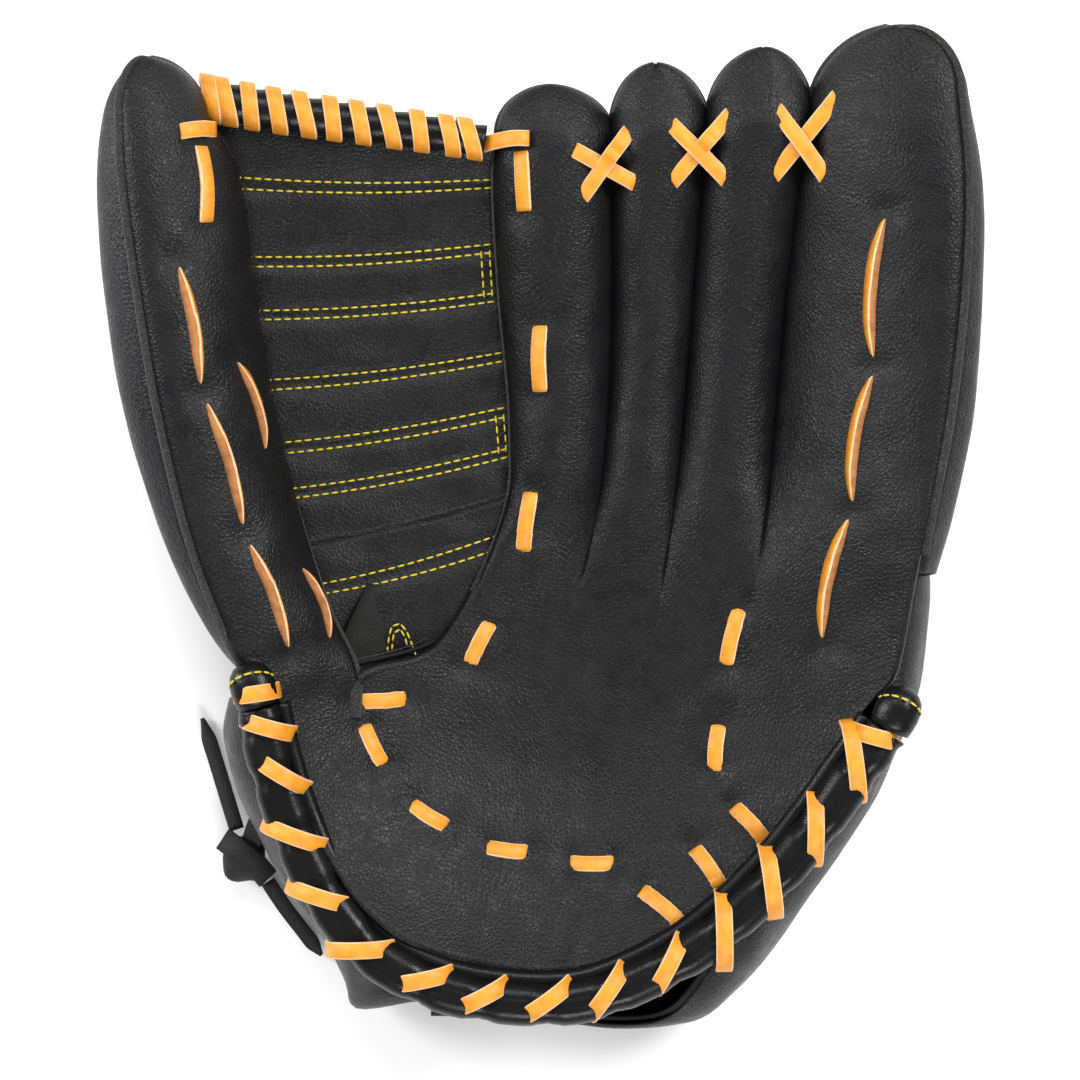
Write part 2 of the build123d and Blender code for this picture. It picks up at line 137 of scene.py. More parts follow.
def voronoi_node(tree, vector, scale, feature="DISTANCE_TO_EDGE"):
    node = tree.nodes.new("ShaderNodeTexVoronoi")
    node.feature = feature
    node.inputs["Scale"].default_value = scale
    tree.links.new(vector, node.inputs["Vector"])
    return node.outputs["Distance"]


def ramp(tree, value, low, high, start, end):
    node = tree.nodes.new("ShaderNodeMapRange")
    node.inputs["From Min"].default_value = low
    node.inputs["From Max"].default_value = high
    node.inputs["To Min"].default_value = start
    node.inputs["To Max"].default_value = end
    tree.links.new(value, node.inputs["Value"])
    return node.outputs["Result"]


def colour_mix(tree, factor, first, second):
    node = tree.nodes.new("ShaderNodeValToRGB")
    node.color_ramp.elements[0].color = (*first, 1)
    node.color_ramp.elements[1].color = (*second, 1)
    tree.links.new(factor, node.inputs["Fac"])
    return node.outputs["Color"]


def add_bump(tree, shader, height, strength, distance, below=None):
    node = tree.nodes.new("ShaderNodeBump")
    node.inputs["Strength"].default_value = strength
    node.inputs["Distance"].default_value = distance
    tree.links.new(height, node.inputs["Height"])
    if below is not None:
        tree.links.new(below, node.inputs["Normal"])
    tree.links.new(node.outputs["Normal"], shader.inputs["Normal"])
    return node.outputs["Normal"]


def leather_material(name, colour, worn, roughness, grain, grain_depth):
    """Pebbled leather: cells of grain over fine creases, duller and paler where it is worn."""
    material, tree, shader = new_material(name, colour, roughness)
    vector = coordinates(tree)
    cloud = noise_node(tree, vector, 38, 4)
    tree.links.new(colour_mix(tree, ramp(tree, cloud, 0.35, 0.7, 0, 1), colour, worn),
                   shader.inputs["Base Color"])
    worn = ramp(tree, noise_node(tree, vector, 160, 5), 0.3, 0.7, roughness - 0.07, roughness + 0.09)
    tree.links.new(worn, shader.inputs["Roughness"])
    shader.inputs["Specular IOR Level"].default_value = 0.24
    cells = ramp(tree, voronoi_node(tree, vector, grain), 0.0, 0.28, 0, 1)
    first = add_bump(tree, shader, cells, 0.55, grain_depth)
    add_bump(tree, shader, noise_node(tree, vector, grain * 0.23, 6), 0.35, grain_depth * 2.5, first)
    return material


def hide_material(name, colour, second, roughness, scale, depth):
    """Raw or dyed lace leather: fine fibres and blotches of colour."""
    material, tree, shader = new_material(name, colour, roughness)
    vector = coordinates(tree)
    blotch = noise_node(tree, vector, scale * 0.2, 4)
    tree.links.new(colour_mix(tree, ramp(tree, blotch, 0.35, 0.68, 0, 1), colour, second),
                   shader.inputs["Base Color"])
    add_bump(tree, shader, noise_node(tree, vector, scale, 5), 0.5, depth)
    return material


def suede_material(name, colour, speck):
    """Cut suede with pale specks of fibre."""
    material, tree, shader = new_material(name, colour, 0.95)
    vector = coordinates(tree)
    grains = noise_node(tree, vector, 1500, 2)
    tree.links.new(colour_mix(tree, ramp(tree, grains, 0.5, 0.75, 0, 1), colour, speck),
                   shader.inputs["Base Color"])
    shader.inputs["Sheen Weight"].default_value = 0.15
    add_bump(tree, shader, noise_node(tree, vector, 1100, 3), 0.8, 0.0005)
    return material


def thread_material(name, colour, second):
    """Twisted thread."""
    material, tree, shader = new_material(name, colour, 0.55)
    vector = coordinates(tree)
    node = tree.nodes.new("ShaderNodeTexWave")
    node.inputs["Scale"].default_value = 900
    tree.links.new(vector, node.inputs["Vector"])
    tree.links.new(colour_mix(tree, node.outputs["Fac"], colour, second), shader.inputs["Base Color"])
    add_bump(tree, shader, node.outputs["Fac"], 0.4, 0.0001)
    return material


def fleece_material(name, colour, second):
    """Curled pile, its colour painted darker where the bump of the curls is low: painted shade in the hollows.
    """
    material, tree, shader = new_material(name, colour, 0.98)
    vector = coordinates(tree)
    curls = voronoi_node(tree, vector, 520, "F1")
    # painted shade: the second colour fills the low pits of the curls' bump
    tree.links.new(colour_mix(tree, ramp(tree, curls, 0.1, 0.7, 0, 1), second, colour),
                   shader.inputs["Base Color"])
    shader.inputs["Sheen Weight"].default_value = 0.3
    add_bump(tree, shader, curls, 0.9, 0.0012)
    return material


LEATHER = leather_material("leather_black", (0.0042, 0.0043, 0.005),
                           (0.0065, 0.0065, 0.0075), 0.42, 760, 0.00016)
BACK_LEATHER = leather_material("leather_back", (0.0055, 0.0057, 0.0068),
                                (0.0085, 0.0088, 0.0105), 0.4, 660, 0.00019)
BINDING = leather_material("leather_binding", (0.0035, 0.0035, 0.0038),
                           (0.005, 0.005, 0.0055), 0.28, 1050, 0.00005)
LINING = leather_material("leather_lining", (0.008, 0.0076, 0.0072),
                          (0.012, 0.011, 0.0105), 0.7, 900, 0.00012)
SUEDE = suede_material("welt_suede", (0.010, 0.0092, 0.0085), (0.055, 0.05, 0.046))
LACE_TOP = hide_material("lace_grain", (0.76, 0.30, 0.018), (0.64, 0.23, 0.014), 0.5, 1400, 0.00006)
LACE_EDGE = hide_material("lace_edge", (0.84, 0.55, 0.33), (0.72, 0.40, 0.22), 0.85, 1800, 0.00015)
LACE_FLESH = hide_material("lace_flesh", (0.42, 0.17, 0.05), (0.27, 0.10, 0.03), 0.9, 1500, 0.0003)
TIE = leather_material("lace_black", (0.009, 0.009, 0.0095), (0.015, 0.015, 0.016), 0.5, 1300, 0.00015)
THREAD = thread_material("thread_yellow", (0.66, 0.54, 0.03), (0.45, 0.36, 0.02))
# painted shade: a near-black matte material for the disks that stand in for the shaded insides of punched holes
HOLE_SHADE = plain_material("hole_painted_shade", (0.003, 0.003, 0.003), 1.0)
# the fleece's second colour is painted shade for the pits between the curls
FLEECE = fleece_material("fleece_black", (0.03, 0.03, 0.031), (0.008, 0.008, 0.008))


# ---------------- mesh tools
def add_object(name, vertices, faces, materials, indices=None, smooth=True):
    mesh = bpy.data.meshes.new(name)
    mesh.from_pydata([Vector(v) * MM for v in vertices], [], faces)
    for material in materials:
        mesh.materials.append(material)
    if indices:
        mesh.polygons.foreach_set("material_index", indices)
    mesh.polygons.foreach_set("use_smooth", [smooth] * len(mesh.polygons))
    mesh.update()
    obj = bpy.data.objects.new(name, mesh)
    bpy.context.scene.collection.objects.link(obj)
    return obj


def apply_modifiers(obj):
    """Bakes an object's modifiers into its mesh."""
    graph = bpy.context.evaluated_depsgraph_get()
    mesh = bpy.data.meshes.new_from_object(obj.evaluated_get(graph))
    obj.modifiers.clear()
    obj.data = mesh
    return obj


def weld(obj, distance=0.00002):
    mesh = bmesh.new()
    mesh.from_mesh(obj.data)
    bmesh.ops.remove_doubles(mesh, verts=mesh.verts, dist=distance)
    bmesh.ops.recalc_face_normals(mesh, faces=mesh.faces)
    mesh.to_mesh(obj.data)
    mesh.free()
    return obj


def thicken(obj, thickness, offset=-1):
    modifier = obj.modifiers.new("thickness", "SOLIDIFY")
    modifier.thickness = thickness * MM
    modifier.offset = offset
    return apply_modifiers(obj)


def spline(points, t):
    """A point of the smooth curve through evenly keyed points, for t from 0 to 1."""
    spans = len(points) - 1
    place = min(max(t, 0.0), 1.0) * spans
    i = min(int(place), spans - 1)
    f = place - i
    size = len(points[0])
    p1, p2 = points[i], points[i + 1]
    p0 = points[i - 1] if i > 0 else tuple(2 * p1[k] - p2[k] for k in range(size))
    p3 = points[i + 2] if i + 2 <= spans else tuple(2 * p2[k] - p1[k] for k in range(size))
    return tuple(0.5 * (2 * p1[k] + (p2[k] - p0[k]) * f + (2 * p0[k] - 5 * p1[k] + 4 * p2[k] - p3[k]) * f * f
                        + (3 * p1[k] - p0[k] - 3 * p2[k] + p3[k]) * f ** 3) for k in range(size))


def smoothstep(value):
    value = min(max(value, 0.0), 1.0)
    return value * value * (3 - 2 * value)


def bowl_height(x, y):
    along = y - BOWL_Y
    if along < 0:
        ring = math.sqrt(BOWL_RADIUS ** 2 - along ** 2)
    else:
        ring = BOWL_RADIUS - FINGER_RADIUS + math.sqrt(FINGER_RADIUS ** 2 - along ** 2)
    return BOWL_FLOOR + BOWL_RADIUS - math.sqrt(max(ring ** 2 - (x - BOWL_X) ** 2, 1.0))


def grid_faces(rows, columns, offset=0, wrap=False):
    faces = []
    for r in range(rows - 1):
        for c in range(columns if wrap else columns - 1):
            d = (c + 1) % columns
            faces.append((offset + r * columns + c, offset + r * columns + d,
                          offset + (r + 1) * columns + d, offset + (r + 1) * columns + c))
    return faces


def sweep(path, section, across=None, index_of=None):
    """A closed section, a list of (across, up) or a function of the place, carried along a path."""
    rows = len(path)
    vertices = []
    previous = None
    for r, point in enumerate(path):
        ahead = Vector(path[min(r + 1, rows - 1)]) - Vector(path[max(r - 1, 0)])
        ahead.normalize()
        side = Vector(across[r]) if across else ahead.cross(Vector((0, 0, 1)))
        side = side - ahead * side.dot(ahead)
        if side.length < 1e-6:
            side = previous
        side.normalize()
        previous = side
        up = side.cross(ahead)
        ring = section(r / (rows - 1)) if callable(section) else section
        vertices += [Vector(point) + side * a + up * b for a, b in ring]
    count = len(ring)
    faces = grid_faces(rows, count, 0, True)
    indices = [index_of(i % count) if index_of else 0 for i in range(len(faces))]
    faces += [tuple(range(count - 1, -1, -1)), tuple(range((rows - 1) * count, rows * count))]
    indices += [1 if index_of else 0] * 2
    return vertices, faces, indices


def swept(name, path, section, material, across=None):
    vertices, faces, _ = sweep(path, section, across)
    return add_object(name, vertices, faces, [material])


def oval(wide, high, corners):
    angles = [math.tau * i / corners for i in range(corners)]
    return [(wide * math.cos(a), high * math.sin(a)) for a in angles]


def spline_path(points, steps):
    return [Vector(spline(points, i / steps)) for i in range(steps + 1)]


class Batch:
    """Several sweeps or grids gathered into one object."""

    def __init__(self):
        self.vertices, self.faces, self.indices = [], [], []

    def add(self, vertices, faces, indices):
        start = len(self.vertices)
        self.vertices += vertices
        self.faces += [tuple(i + start for i in face) for face in faces]
        self.indices += indices

    def make(self, name, materials, smooth=True):
        return add_object(name, self.vertices, self.faces, materials, self.indices, smooth)


# ---------------- laces
LACE_MATERIALS = [LACE_TOP, LACE_EDGE, LACE_FLESH]


def lace_section(width=LACE_WIDTH, thickness=LACE_THICKNESS):
    """A strap's section with cut edges: corners in order round it."""
    half, deep, soft = width / 2, thickness / 2, 0.32
    return [(-half + soft, deep), (half - soft, deep), (half, deep - soft), (half, -deep + soft),
            (half - soft, -deep), (-half + soft, -deep), (-half, -deep + soft), (-half, deep - soft)]


def lace_index(i):
    return 0 if i == 0 else (2 if i == 4 else 1)


def lace(path, across, width=LACE_WIDTH, thickness=LACE_THICKNESS):
    return sweep(path, lace_section(width, thickness), across, lace_index)


def ridge_lace(path, across, left, right, left_face, right_face):
    """A lace on its edge: one face leans out on the left of the cut edge, the other on the right."""
    section = [(-left, -1.3), (-0.35, 1.5), (0.35, 1.5), (right, -1.3)]
    faces = {0: left_face, 1: 1, 2: right_face, 3: 2}
    return sweep(path, section, across, lambda i: faces[i])


make_camera()
make_stage()

# ---------------- free ends of the strap's lace
UPPER_TAIL = [(-97.5, -93.0, 8.0), (-100.5, -84.0, 6.0), (-104.5, -71.5, 3.4), (-109.0, -57.5, 3.0)]
LOWER_TAIL = [(-87.5, -110.0, 7.0), (-83.0, -117.5, 5.0), (-76.5, -126.0, 3.4), (-70.5, -134.0, 3.0)]


def cord_line(points):
    """Points along the smooth line that a route's points control."""
    data = bpy.data.curves.new("route", "CURVE")
    data.dimensions = "3D"
    line = data.splines.new("NURBS")
    line.points.add(len(points) - 1)
    for place, point in zip(line.points, points):
        place.co = (*(Vector(point) * MM), 1)
    line.order_u = 3
    line.use_endpoint_u = True
    line.resolution_u = 10
    holder = bpy.data.objects.new("route", data)
    bpy.context.scene.collection.objects.link(holder)
    mesh = bpy.data.meshes.new_from_object(holder)
    found = [v.co.copy() for v in mesh.vertices]
    bpy.data.objects.remove(holder)
    return found


def make_tail(name, points, node):
    line = cord_line(points)
    width, thickness, tip = 4.8, 1.7, 0.88

    def section(place):
        narrow = 1.0 if place < tip else 1.0 - 0.75 * (place - tip) / (1 - tip)
        return [(a * narrow, b) for a, b in lace_section(width, thickness)]

    path = [p / MM for p in line]
    tail = swept(name, path, section, TIE)
    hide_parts(node)
    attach(tail, "thumb_side")


make_tail("lace_tail_upper", UPPER_TAIL, "knot_tail_upper")
make_tail("lace_tail_lower", LOWER_TAIL, "knot_tail_lower")

# ---------------- front leather: five strips from the heel to the tips
# Each boundary is keyed at: heel roll, low pocket, high pocket, web bottom, crotch, three heights of
# the stall, shoulder of the tip, tip. None takes the height of the bowl.
B = None
HEEL_EDGE = [(-82, -52), (-78, -79), (-66, -107), (-47, -126.5), (-21, -136.5), (9, -138.5), (37, -130),
             (60, -114), (80, -91), (101, -57)]
THUMB_OUTER = [(-79, -54, B), (-83, -47, B), (-89, -40, 67), (-96, -27, 70), (-106, 0, 75), (-115, 38, 81),
               (-121, 75, 85), (-125.3, 108, 87), (-126.3, 129, 87), (-119.6, 145, 82)]
THUMB_INNER = [(-62, -104, B), (-59, -72, B), (-57.5, -44, B), (-67, -22, 50), (-76, 5, 48), (-85.5, 42, 49),
               (-91, 78, 53), (-95.5, 113, 59), (-104, 129, 66), (-118.6, 145, 81)]
INDEX_LEFT = [(-62, -104, B), (-59, -72, B), (-57.5, -44, B), (-31, -33, 43.5), (-10.8, 6, 42), (-8.2, 36, 42),
              (-11.5, 76, 45), (-13.3, 108, 50), (-12.5, 126, 55), (2.6, 139.5, 58)]
VALLEY_1 = [(-20, -131, B), (-10, -95, B), (0, -60, B), (10, -25, B), (17.5, 8, 37), (20.5, 38, 34),
            (22, 75, 37), (22.2, 108, 45)]
VALLEY_2 = [(8, -133.5, B), (20, -97, B), (29, -62, B), (36, -28, B), (41.5, 6, 38.5), (45.5, 38, 35),
            (48.5, 75, 38), (50.8, 108, 46)]
VALLEY_3 = [(56, -111, B), (58, -86, B), (61, -58, B), (65.5, -25, B), (70.5, 6, 42.5), (74, 38, 39),
            (77.5, 75, 43), (81, 108, 51)]
PINKY_OUTER = [(98, -56, B), (104, -48, B), (110, -40, 68), (114.5, -15, 73), (118.5, 8, 76), (124, 38, 78),
               (128, 75, 80), (129, 108, 82), (126.5, 136, 82), (109.5, 155.4, 78)]
INDEX_RIGHT_TIP = [(21.4, 126, 51), (3.4, 139.5, 58)]
MIDDLE_LEFT_TIP = [(22.9, 127, 52), (35.2, 146, 60)]
MIDDLE_RIGHT_TIP = [(51.4, 127, 53), (36, 146, 60)]
RING_LEFT_TIP = [(52.6, 129, 55), (68.6, 150.2, 64)]
RING_RIGHT_TIP = [(83.6, 128, 59), (69.4, 150.2, 65)]
PINKY_LEFT_TIP = [(84.6, 132, 60), (108.7, 155.4, 77)]

# name: left, right, front crown, back depth, flare of the back (left, right), body
STRIPS = {
    "thumb": (THUMB_OUTER, THUMB_INNER, [0, 0, 3, 7, 9.5, 11, 11.5, 10.5, 8, 1],
              [0, 4, 17, 20, 23, 25, 25, 22, 15, 1.5], (0.34, 0.0), "thumb_side"),
    "index": (INDEX_LEFT, VALLEY_1 + INDEX_RIGHT_TIP, [0, 0, 0, 1, 7, 12, 14, 14, 11, 1],
              [0, 0, 0, 4, 34, 29, 23, 18, 13, 1.5], (0.1, 0.0), "palm"),
    "middle": (VALLEY_1 + MIDDLE_LEFT_TIP, VALLEY_2 + MIDDLE_RIGHT_TIP, [0, 0, 0, 1, 7, 12.5, 14, 14, 11, 1],
               [0, 0, 0, 4, 34, 27, 21, 17, 13, 1.5], (0.0, 0.05), "palm"),
    "ring": (VALLEY_2 + RING_LEFT_TIP, VALLEY_3 + RING_RIGHT_TIP, [0, 0, 0, 1, 7, 12.5, 14, 14, 11, 1],
             [0, 0, 0, 4, 32, 25, 19, 17, 13, 1.5], (0.0, 0.05), "palm"),
    "pinky": (VALLEY_3 + PINKY_LEFT_TIP, PINKY_OUTER, [0, 0, 0, 0, 3, 7, 9, 9.5, 8, 1],
              [0, 2, 12, 22, 26, 25, 22, 20, 15, 1.5], (0.0, 0.3), "palm"),
}
STRIP_ORDER = ["thumb", "index", "middle", "ring", "pinky"]
HEEL_SHARES = [0.0, 0.222, 0.444, 0.556, 0.778, 1.0]
ROWS, COLUMNS = 136, 22
KNOTS = 9


def boundary(points, v):
    """A point of a boundary: smooth through its table, round at the tip, on the bowl where z is open."""
    filled = [(x, y, bowl_height(x, y) if z is B else z) for x, y, z in points]
    place = v * KNOTS
    if place <= 2 and points[2][2] is B:
        return Vector(spline(filled[:3], place / 2))
    if place <= KNOTS - 1:
        return Vector(spline(filled[:KNOTS], place / (KNOTS - 1)))
    turn = (place - KNOTS + 1) * math.pi / 2
    shoulder, tip = Vector(filled[-2]), Vector(filled[-1])
    inward, upward = 1 - math.cos(turn), math.sin(turn)
    return Vector((shoulder.x + (tip.x - shoulder.x) * inward, shoulder.y + (tip.y - shoulder.y) * upward,
                   shoulder.z + (tip.z - shoulder.z) * inward))


def strip_frame(name, v):
    """Left and right edge of a strip, the direction out of it, its crown and its depth."""
    left_points, right_points, crowns, depths, flare, _ = STRIPS[name]
    left, right = boundary(left_points, v), boundary(right_points, v)
    chord = right - left
    out = Vector((-chord.z, 0, chord.x))
    if out.length < 1e-6:
        out = Vector((0, 0, 1))
    out.normalize()
    crown = spline([(c,) for c in crowns], v)[0]
    depth = spline([(d,) for d in depths], v)[0]
    return left, right, out, crown, depth, flare


def stall_share(name, v):
    """How far a row has left the bowl for its own rounded stall."""
    start, end = ((1.2, 3.2) if name == "thumb" else (2.6, 4.6))
    return smoothstep((v * KNOTS - start) / (end - start))


def front_place(name, v, s):
    """The front leather of a strip: v from heel to tip, s from -1 at its left edge to 1 at its right."""
    left, right, out, crown, _, _ = strip_frame(name, v)
    share = (s + 1) / 2
    base = left.lerp(right, share)
    place = STRIP_ORDER.index(name)
    heel_pull = (1 - smoothstep(v * KNOTS / 1.6))
    if heel_pull > 0:
        u = HEEL_SHARES[place] + (HEEL_SHARES[place + 1] - HEEL_SHARES[place]) * share
        rim = Vector((*spline(HEEL_EDGE, u), 0))
        chord_start = Vector((*spline(HEEL_EDGE, HEEL_SHARES[place]), 0))
        chord_end = Vector((*spline(HEEL_EDGE, HEEL_SHARES[place + 1]), 0))
        shift = (rim - chord_start.lerp(chord_end, share)) * heel_pull
        base.x += shift.x
        base.y += shift.y
    rounded = base + out * (crown * (1 - abs(s) ** 2.2) ** 0.62)
    bowl = Vector((base.x, base.y, bowl_height(base.x, base.y)))
    mixed = bowl.lerp(rounded, stall_share(name, v))
    crease = noise.noise(Vector((mixed.x * 0.05, mixed.y * 0.03, 3.1)))
    fine = noise.noise(Vector((mixed.x * 0.16, mixed.y * 0.12, 9.7)))
    edge = (1 - abs(s) ** 6)
    return mixed + out * ((0.9 * crease + 0.35 * fine) * edge)


# ---------------- places of the laces, (x, y) on the faces
POCKET_LACES = [((-57, -50), (-41.5, -49.2)), ((-55.5, -57), (-49, -70.5)), ((-41, -82), (-29, -89.5)),
                ((-17.5, -96), (-3.5, -97.6)), ((9, -101), (23.5, -101)), ((63, -20.5), (58.5, -40)),
                ((56.5, -57), (55, -73)), ((0.6, 68), (0.6, 45)), ((-2, 16), (-5.3, -4.3)),
                ((-15.2, -25), (-22.6, -39.5))]
THUMB_LACES = [((-94.5, 56), (-85.5, 26)), ((-75.5, -8), (-66, -32))]
HEEL_STITCHES = [((31, -109), (44.5, -120)), ((48, -96), (56.5, -108)), ((60.5, -83), (70.5, -94))]
THUMB_RUNNERS = [((-110.5, 85), (-103.5, 45)), ((-103, 44), (-91, 2)), ((-90.5, 0.5), (-77.5, -35))]
PINKY_RUNNERS = [((106.5, 101), (103, 53)), ((103.5, 53), (97, 9)), ((97, 9), (88, -33))]
INDEX_LOOP = [((-5.2, 121), (-4.2, 101))]
THUMB_LOOP = [((-104.5, 121), (-102.4, 95))]
HEEL_WRAPS = [  # inner hole, outer end
    ((-94, -48), (-80, -45.9)), ((-91.5, -55), (-75.5, -59.5)), ((-87.4, -66.6), (-71.3, -76.5)),
    ((-85.3, -87), (-65.5, -94.2)), ((-77.8, -106), (-57.7, -112.3)), ((-65.7, -125.8), (-44, -125)),
    ((-45.3, -136.4), (-26, -132.4)), ((-26, -144), (-9, -135.2)), ((-6.2, -147), (10.5, -135)),
    ((14.6, -147), (26.7, -129.6)), ((34.7, -139.2), (44.3, -120.6)), ((56.7, -132.7), (56.1, -107.9)),
    ((72.5, -116.6), (69.4, -93.6)), ((84.3, -100.4), (84.3, -76.6)), ((98, -81), (94.6, -55.5)),
    ((95.8, -58.3), (109.4, -62)),
]
FACE_HOLES = [end for pair in POCKET_LACES + THUMB_LACES + HEEL_STITCHES + THUMB_RUNNERS + PINKY_RUNNERS
              + INDEX_LOOP + THUMB_LOOP for end in pair]
DIMPLE_DEPTH, DIMPLE_RADIUS = 1.7, 4.6


def dimpled(point):
    """The leather sinks round each punched hole."""
    sink = 0.0
    for x, y in FACE_HOLES:
        square = (point.x - x) ** 2 + (point.y - y) ** 2
        if square < (2.6 * DIMPLE_RADIUS) ** 2:
            sink = max(sink, math.exp(-square / DIMPLE_RADIUS ** 2))
    return point - Vector((0, 0, DIMPLE_DEPTH * sink))


def front_sheet(name):
    vertices = []
    for r in range(ROWS):
        v = r / (ROWS - 1)
        for c in range(COLUMNS):
            s = -math.cos(math.pi * c / (COLUMNS - 1)) * 0.5 + (2 * c / (COLUMNS - 1) - 1) * 0.5
            vertices.append(dimpled(front_place(name, v, s)))
    return vertices, grid_faces(ROWS, COLUMNS), [0] * ((ROWS - 1) * (COLUMNS - 1))


def make_front():
    """One front leather: the strips share their edges in the palm and part above the crotches."""
    batch = Batch()
    for name in STRIP_ORDER:
        batch.add(*front_sheet(name))
    front = weld(batch.make("front_leather", [LEATHER, LINING]), 0.00012)
    tree = BVHTree.FromPolygons([v.co for v in front.data.vertices],
                                [tuple(p.vertices) for p in front.data.polygons])
    if front.data.polygons[0].normal.z < 0:
        front.data.flip_normals()
    thicken(front, 1.6)
    nodes = ["palm_leather", "thumb_palm_leather", "palm_pad", "thumb_heel_pad"]
    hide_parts(*nodes, *[f"{name}_front" for name in STRIP_ORDER])
    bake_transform(front)
    return tree


FRONT_TREE = make_front()


def on_front(x, y, lift=0.0):
    """The point of the front leather under (x, y), raised along its normal, and that normal."""
    hit, normal, _, _ = FRONT_TREE.ray_cast(Vector((x, y, 300)) * MM, Vector((0, 0, -1)))
    if hit is None:
        return Vector((x, y, bowl_height(x, y) + lift)), Vector((0, 0, 1))
    if normal.z < 0:
        normal = -normal
    return hit / MM + normal * lift, normal


# ---------------- backs and welts of the stalls
BACK_FIRST_ROW, THUMB_BACK_FIRST_ROW = 48, 16
WELT_FIRST_ROW, THUMB_WELT_FIRST_ROW = 52, 24
BACK_COLUMNS = 26


def back_place(name, v, angle):
    """The back leather of a stall; angle from 0 at its left edge to pi at its right."""
    left, right, out, _, depth, flare = strip_frame(name, v)
    middle, half = (left + right) / 2, (right - left) / 2
    along = -math.cos(angle)
    side = flare[0] if along < 0 else flare[1]
    place = middle + half * (along * (1 + side * math.sin(angle)))
    place = place - out * (depth * math.sin(angle) ** 0.72)
    wave = noise.noise(place * 0.05)
    place = place - out * (0.8 * wave * math.sin(angle))
    place.z = max(place.z, 1.2)
    return place


def make_back(name):
    vertices = []
    first = THUMB_BACK_FIRST_ROW if name == "thumb" else BACK_FIRST_ROW
    for r in range(first, ROWS):
        for c in range(BACK_COLUMNS):
            vertices.append(back_place(name, r / (ROWS - 1), math.pi * c / (BACK_COLUMNS - 1)))
    faces = grid_faces(ROWS - first, BACK_COLUMNS)
    back = weld(add_object(f"{name}_stall_back", vertices, faces, [BACK_LEATHER, LINING]))
    middle = back.data.polygons[len(back.data.polygons) // 2]
    if middle.normal.z > 0:
        back.data.flip_normals()
    thicken(back, 1.6)
    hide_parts(f"{name}_back", f"{name}_lining")
    if name in ("thumb", "pinky"):
        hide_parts(f"{name}_stiffener")
    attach(back, STRIPS[name][5])


def welt_path(name, side, first):
    points = []
    for r in range(first, ROWS):
        left, right, _, _, _, _ = strip_frame(name, r / (ROWS - 1))
        outward = (left - right).normalized() if side == 0 else (right - left).normalized()
        edge = left if side == 0 else right
        points.append((edge + outward * 0.5, outward))
    return points


def make_welt(name):
    first = THUMB_WELT_FIRST_ROW if name == "thumb" else WELT_FIRST_ROW
    left = welt_path(name, 0, first)
    right = welt_path(name, 1, first)
    path, across = [], []
    for point, outward in left + right[::-1]:
        if not path or (point - path[-1]).length > 0.7:
            path.append(point)
            across.append(outward)
    broad = 2.3 if name in ("thumb", "pinky") else 1.4
    deep = 1.5 if name in ("thumb", "pinky") else 1.2
    section = oval(broad, deep, 10)
    welt = swept(f"{name}_welt_strip", path, section, SUEDE, across)
    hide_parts(f"{name}_welt")
    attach(welt, STRIPS[name][5])


for stall in STRIP_ORDER:
    make_back(stall)
    make_welt(stall)

# ---------------- web
WEB_ROWS = [  # left point, right point
    ((-66, -52, 43.5), (-40, -54, 39)), ((-68, -32, 43.5), (-26, -36, 37.8)), ((-72, -16, 44), (-9, 1, 38.5)),
    ((-77, -2, 44), (-5.5, 15, 38)), ((-82, 14, 44.5), (-4, 29, 38)), ((-87, 28, 45), (-4.5, 41.5, 38.5)),
    ((-90.5, 48, 46), (-6, 58.5, 39.5)), ((-94, 70, 48), (-7.5, 77, 41)), ((-96.5, 86.5, 50), (-8.3, 92, 43)),
    ((-99.5, 111, 55), (-9, 111.5, 47)), ((-105, 134, 60), (-12, 124, 53)),
]
STITCHED_ROWS = [2, 4, 5, 6, 7, 8, 9]
WEB_LAST = len(WEB_ROWS) - 1
STITCH_PITCH = 3.0
THREAD_RADIUS = 0.34
THREAD_HUMPS = [(0.0, 0.1, -0.25), (0.15, 0.8, 0.12), (0.5, 1.0, 0.26), (0.85, 0.8, 0.12), (1.0, 0.1, -0.25)]


def web_place(u, v, lift=0.0):
    left = Vector(spline([row[0] for row in WEB_ROWS], v))
    right = Vector(spline([row[1] for row in WEB_ROWS], v))
    place = left.lerp(right, u)
    row = v * WEB_LAST
    nearest = min(abs(row - r) for r in STITCHED_ROWS)
    puff = 1.3 * (1 - math.exp(-(nearest / 0.16) ** 2))
    step = 1.6 * smoothstep((3.0 - row) / 0.16 + 0.5) * smoothstep(row / 1.4)
    place.y -= 1.6 * math.sin(math.pi * u) * min(1, row)
    place.z += -1.6 * math.sin(math.pi * u) + puff * min(1, 9 * u * (1 - u) + 0.25) + step + lift
    place.z += 0.7 * noise.noise(Vector((place.x * 0.06, place.y * 0.09, 1.0)))
    return place


def stitch_line(batch, ends):
    """Short threads end to end along a line of surface points."""
    length = sum((b - a).length for a, b in zip(ends, ends[1:]))
    count = max(2, int(length / STITCH_PITCH))
    marks = [length * i / count for i in range(count + 1)]
    places = []
    walked, i = 0.0, 0
    for mark in marks:
        while i < len(ends) - 2 and walked + (ends[i + 1] - ends[i]).length < mark:
            walked += (ends[i + 1] - ends[i]).length
            i += 1
        span = (ends[i + 1] - ends[i]).length
        places.append(ends[i].lerp(ends[i + 1], min(1, (mark - walked) / max(span, 1e-6))))
    for a, b in zip(places, places[1:]):
        run = (b - a) * 0.82
        start = a + (b - a) * 0.09
        path = [start + run * t + Vector((0, 0, rise)) for t, _, rise in THREAD_HUMPS]

        def section(place):
            size = THREAD_HUMPS[min(int(place * 4 + 0.5), 4)][1] * THREAD_RADIUS
            return oval(size, size, 6)

        batch.add(*sweep(path, section))


def web_line(row, shift, u0, u1, samples=24):
    return [web_place(u0 + (u1 - u0) * i / samples, (row + shift) / WEB_LAST, 0.15)
            for i in range(samples + 1)]


